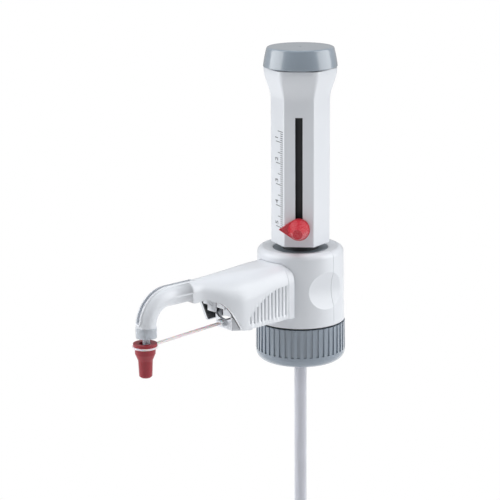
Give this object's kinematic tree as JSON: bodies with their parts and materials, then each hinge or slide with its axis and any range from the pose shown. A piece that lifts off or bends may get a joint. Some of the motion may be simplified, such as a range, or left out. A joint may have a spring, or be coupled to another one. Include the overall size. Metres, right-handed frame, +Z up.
{
  "type": "bottle top dispenser",
  "caption": "Bottle top dispenser: ribbed screw ring, turning valve head with a bent discharge arm, lift-up handle with volume pointer and a strapped tip closure.",
  "frame": {"origin": "centre of the lower rim of the screw ring, on the axis of the bottle neck", "axes": "+Z up along the bottle and plunger axis, -X along the discharge arm, +Y to its left seen from above with the arm pointing away"},
  "size_m": [0.1669, 0.058, 0.3498],
  "materials": {
    "light_plastic": "satin moulded",
    "blue_grey_plastic": "matt moulded",
    "dark_plastic": "matt",
    "red_plastic": "gloss moulded",
    "frosted_plastic": "frosted",
    "tube_plastic": "translucent",
    "fluoropolymer": "waxy",
    "seal_rubber": "matt",
    "glass": "clear",
    "steel": "turned",
    "ceramic": "polished"
  },
  "bodies": {
    "mount_ring": {"screw_ring": "blue_grey_plastic"},
    "head": {"valve_block": "dark_plastic", "neck_seal": "seal_rubber", "vent_cap": "dark_plastic", "front_housing": "light_plastic", "rear_cover": "light_plastic", "cylinder_nut": "dark_plastic", "cylinder_seal": "seal_rubber", "glass_cylinder": "glass", "guide_tube": "dark_plastic", "stop_collar": "dark_plastic", "rod_bush": "dark_plastic", "filling_valve_body": "fluoropolymer", "filling_nipple": "fluoropolymer", "filling_tube": "tube_plastic", "discharge_valve_body": "fluoropolymer", "outlet_spring": "steel", "discharge_tube": "tube_plastic", "arm_plate": "light_plastic", "spout_housing": "light_plastic", "arm_liner": "dark_plastic", "nozzle_collar": "frosted_plastic", "strap_bracket": "light_plastic", "strap_pin": "steel"},
    "plunger": {"piston": "fluoropolymer", "piston_seal": "seal_rubber", "piston_rod": "steel", "rod_nut": "steel", "handle_sleeve": "light_plastic", "top_cap": "blue_grey_plastic"},
    "pointer": {"volume_pointer": "red_plastic", "clamp_nut": "dark_plastic"},
    "screw": {"thumb_screw": "red_plastic", "clamp_screw": "steel"},
    "closure": {"closure_cap": "red_plastic", "closure_strap": "frosted_plastic"},
    "lower_tube": {"lower_filling_tube": "tube_plastic"},
    "inlet_check": {"inlet_ball": "ceramic"},
    "outlet_check": {"outlet_ball": "ceramic"}
  },
  "joints": [
    {"name": "head_swivel", "type": "hinge", "parent": "mount_ring", "child": "head", "pos_m": [0, 0, 0.02], "axis": [0, 0, 1], "continuous": true},
    {"name": "plunger_lift", "type": "slide", "parent": "head", "child": "plunger", "axis": [0, 0, 1], "range_m": [0, 0.0685]},
    {"name": "pointer_slide", "type": "slide", "parent": "plunger", "child": "pointer", "axis": [0, 0, 1], "range_m": [0, 0.0616]},
    {"name": "thumb_screw_turn", "type": "hinge", "parent": "pointer", "child": "screw", "pos_m": [-0.01828, -0.01705, 0.0883], "axis": [-0.7314, -0.682, 0], "range_deg": [-180, 0]},
    {"name": "closure_swing", "type": "hinge", "parent": "head", "child": "closure", "pos_m": [-0.0682, 0, 0.036], "axis": [0, 1, 0], "range_deg": [-95, 0]},
    {"name": "lower_tube_slide", "type": "slide", "parent": "head", "child": "lower_tube", "axis": [0, 0, 1], "range_m": [-0.085, 0.018]},
    {"name": "inlet_ball_lift", "type": "slide", "parent": "head", "child": "inlet_check", "axis": [0, 0, 1], "range_m": [0, 0.0015]},
    {"name": "outlet_ball_lift", "type": "slide", "parent": "head", "child": "outlet_check", "axis": [-1, 0, 0], "range_m": [0, 0.001], "stiffness_N_per_m": 60, "springref_m": -0.0005, "deforming": ["outlet_spring"]}
  ]
}
